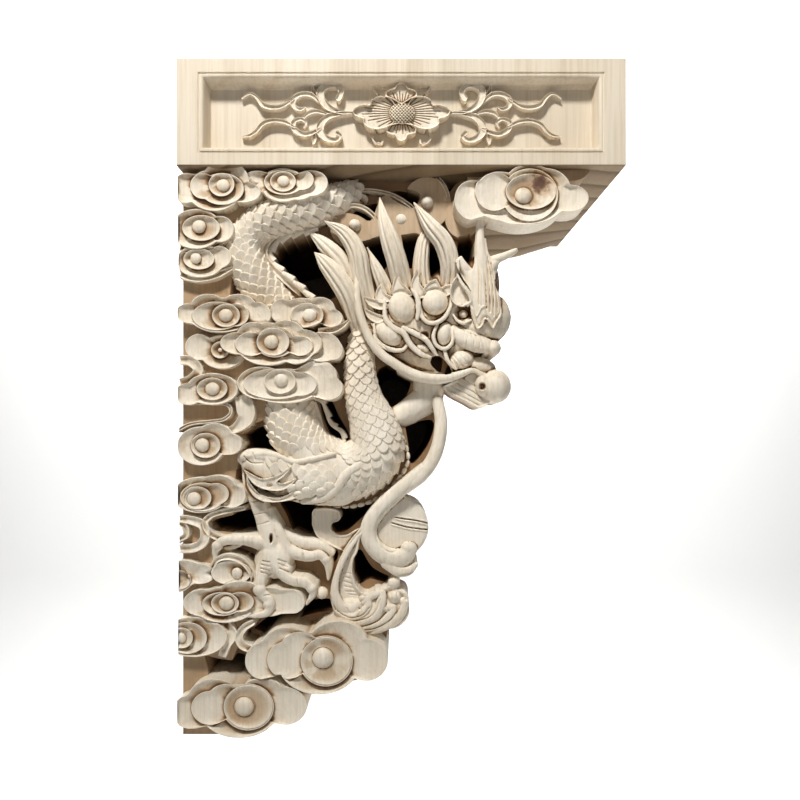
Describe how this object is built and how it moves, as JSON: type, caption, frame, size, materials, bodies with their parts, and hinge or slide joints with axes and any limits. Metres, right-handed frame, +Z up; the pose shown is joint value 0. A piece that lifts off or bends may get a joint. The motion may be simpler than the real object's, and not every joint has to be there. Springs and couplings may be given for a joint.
{
  "type": "carved beam bracket",
  "caption": "Carved wooden corbel: a dragon among clouds under a short beam with a sunk flower panel, fixed by its flat end to a column.",
  "frame": {"origin": "middle of the flat column face, half way up and half way through the thickness", "axes": "+X out from the column along the beam, +Z up, -Y towards the carved front"},
  "size_m": [0.394, 0.2, 0.6],
  "materials": {
    "raw_wood": "raw, unfinished pale softwood with chisel marks"
  },
  "bodies": {
    "root": {"bracket": "raw_wood"}
  },
  "joints": []
}
